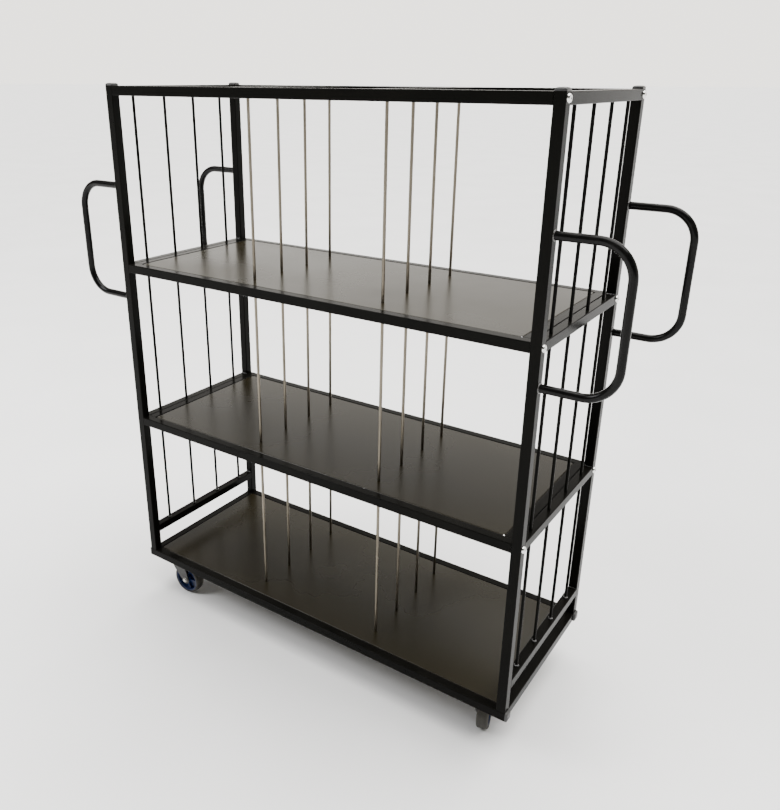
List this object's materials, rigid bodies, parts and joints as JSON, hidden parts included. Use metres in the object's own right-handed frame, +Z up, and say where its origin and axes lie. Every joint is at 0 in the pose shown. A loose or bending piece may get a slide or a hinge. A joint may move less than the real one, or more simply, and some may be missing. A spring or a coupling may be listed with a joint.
{
  "type": "luggage cart",
  "caption": "Tall open shelf cart for moving luggage: square-tube frame with two shelves and a deck, upright divider rods, loop handles at both ends and swivel casters",
  "frame": {"origin": "on the floor, at the middle of the cart", "axes": "+X along the cart towards its right end, +Y towards the back, +Z up"},
  "size_m": [1.619, 0.507, 1.6075],
  "materials": {
    "black_frame": "satin",
    "panel_paint": "satin",
    "handle_black": "gloss",
    "rod_steel": "satin",
    "zinc": "satin",
    "bolt_bright": "polished",
    "black_plastic": "matte",
    "fork_black": "satin",
    "hub_blue": "satin",
    "tyre_rubber": "matte"
  },
  "bodies": {
    "frame": {"base_end_tubes": "black_frame", "base_front_tube": "black_frame", "base_rear_tube": "black_frame", "caster_fasteners": "zinc", "caster_mount_plates": "black_frame", "caster_plates": "zinc", "cross_bars": "black_frame", "deck_panel": "panel_paint", "divider_top_rails": "black_frame", "foot_bolts": "zinc", "frame_bolts": "bolt_bright", "kingpins": "zinc", "left_divider_rods": "rod_steel", "left_end_rods": "black_frame", "left_front_handle": "handle_black", "left_front_post": "black_frame", "left_low_rail": "black_frame", "left_middle_rail": "black_frame", "left_rear_handle": "handle_black", "left_rear_post": "black_frame", "left_top_rail": "black_frame", "left_upper_rail": "black_frame", "middle_front_rail": "black_frame", "middle_rear_rail": "black_frame", "middle_shelf_panel": "panel_paint", "right_divider_rods": "rod_steel", "right_end_rods": "black_frame", "right_front_handle": "handle_black", "right_front_post": "black_frame", "right_low_rail": "black_frame", "right_middle_rail": "black_frame", "right_rear_handle": "handle_black", "right_rear_post": "black_frame", "right_top_rail": "black_frame", "right_upper_rail": "black_frame", "shelf_end_rails": "black_frame", "swivel_bearings": "zinc", "top_front_rail": "black_frame", "top_rear_rail": "black_frame", "tube_end_caps": "black_plastic", "tube_inserts": "zinc", "upper_front_rail": "black_frame", "upper_rear_rail": "black_frame", "upper_shelf_panel": "panel_paint"},
    "left_front_caster": {"left_front_fork": "fork_black", "left_front_axle": "zinc"},
    "left_front_wheel": {"left_front_tyre": "tyre_rubber", "left_front_hub": "hub_blue"},
    "left_rear_caster": {"left_rear_fork": "fork_black", "left_rear_axle": "zinc"},
    "left_rear_wheel": {"left_rear_tyre": "tyre_rubber", "left_rear_hub": "hub_blue"},
    "right_front_caster": {"right_front_fork": "fork_black", "right_front_axle": "zinc"},
    "right_front_wheel": {"right_front_tyre": "tyre_rubber", "right_front_hub": "hub_blue"},
    "right_rear_caster": {"right_rear_fork": "fork_black", "right_rear_axle": "zinc"},
    "right_rear_wheel": {"right_rear_tyre": "tyre_rubber", "right_rear_hub": "hub_blue"}
  },
  "joints": [
    {"name": "left_front_swivel", "type": "hinge", "parent": "frame", "child": "left_front_caster", "pos_m": [-0.561, -0.1995, 0.11], "axis": [0, 0, 1], "continuous": true},
    {"name": "left_front_roll", "type": "hinge", "parent": "left_front_caster", "child": "left_front_wheel", "pos_m": [-0.52505, -0.19762, 0.05], "axis": [-0.0523, 0.9986, 0], "continuous": true},
    {"name": "left_rear_swivel", "type": "hinge", "parent": "frame", "child": "left_rear_caster", "pos_m": [-0.561, 0.1995, 0.11], "axis": [0, 0, 1], "continuous": true},
    {"name": "left_rear_roll", "type": "hinge", "parent": "left_rear_caster", "child": "left_rear_wheel", "pos_m": [-0.52607, 0.20821, 0.05], "axis": [-0.2419, 0.9703, 0], "continuous": true},
    {"name": "right_front_swivel", "type": "hinge", "parent": "frame", "child": "right_front_caster", "pos_m": [0.561, -0.1995, 0.11], "axis": [0, 0, 1], "continuous": true},
    {"name": "right_front_roll", "type": "hinge", "parent": "right_front_caster", "child": "right_front_wheel", "pos_m": [0.55108, -0.16489, 0.05], "axis": [-0.9613, -0.2756, 0], "continuous": true},
    {"name": "right_rear_swivel", "type": "hinge", "parent": "frame", "child": "right_rear_caster", "pos_m": [0.561, 0.1995, 0.11], "axis": [0, 0, 1], "continuous": true},
    {"name": "right_rear_roll", "type": "hinge", "parent": "right_rear_caster", "child": "right_rear_wheel", "pos_m": [0.52535, 0.20451, 0.05], "axis": [-0.1392, -0.9903, 0], "continuous": true}
  ]
}
